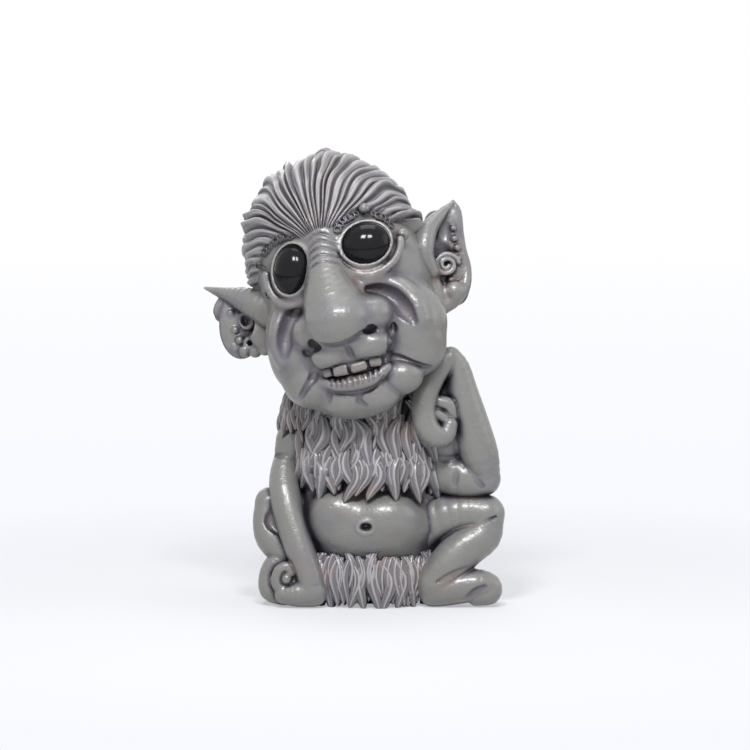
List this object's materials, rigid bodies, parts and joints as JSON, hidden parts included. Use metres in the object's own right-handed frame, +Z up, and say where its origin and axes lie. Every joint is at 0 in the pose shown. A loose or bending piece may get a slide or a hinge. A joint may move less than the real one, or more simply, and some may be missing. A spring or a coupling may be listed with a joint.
{
  "type": "seated troll figure",
  "caption": "Seated troll figure with a large leaning head, big nose, pointed ears and black domed eyes, its cheek on its fist, cast in grey with combed hair and fur.",
  "frame": {"origin": "centre of the torso's flat underside, on the ground", "axes": "+Z up, -Y towards the front that the belly faces, +X towards the figure's own left side"},
  "size_m": [0.1013, 0.0726, 0.1512],
  "materials": {
    "cast": "cast grey resin filled with stone powder, thin varnish",
    "hair": "the same casting with a pinkish brown wash rubbed into the grooves",
    "tooth": "the same casting, picked out in worn beige",
    "eye": "black, high gloss"
  },
  "bodies": {
    "root": {"torso": "cast", "loin_fur": "hair", "lower_chest_fur": "hair", "upper_chest_fur": "hair", "left_thigh": "cast", "left_shin": "cast", "left_foot": "cast", "left_toe": "cast", "right_thigh": "cast", "right_shin": "cast", "right_foot": "cast", "right_upper_arm": "cast", "right_forearm": "cast", "right_hand": "cast", "right_thumb": "cast", "left_upper_arm": "cast", "left_forearm": "cast", "left_hand": "cast", "left_thumb": "cast", "head": "cast", "right_eye": "eye", "left_eye": "eye", "nose": "cast", "right_cheek": "cast", "left_cheek": "cast", "chin": "cast", "jowl": "cast", "upper_lip": "cast", "lower_gum": "cast", "upper_teeth": "tooth", "right_eyelid": "cast", "left_eyelid": "cast", "right_brow": "cast", "left_brow": "cast", "hair": "hair", "crown_tuft": "hair", "right_ear": "cast", "left_ear": "cast", "right_ear_curl": "cast", "left_ear_curl": "cast", "right_shoulder_tuft": "hair"}
  },
  "joints": []
}
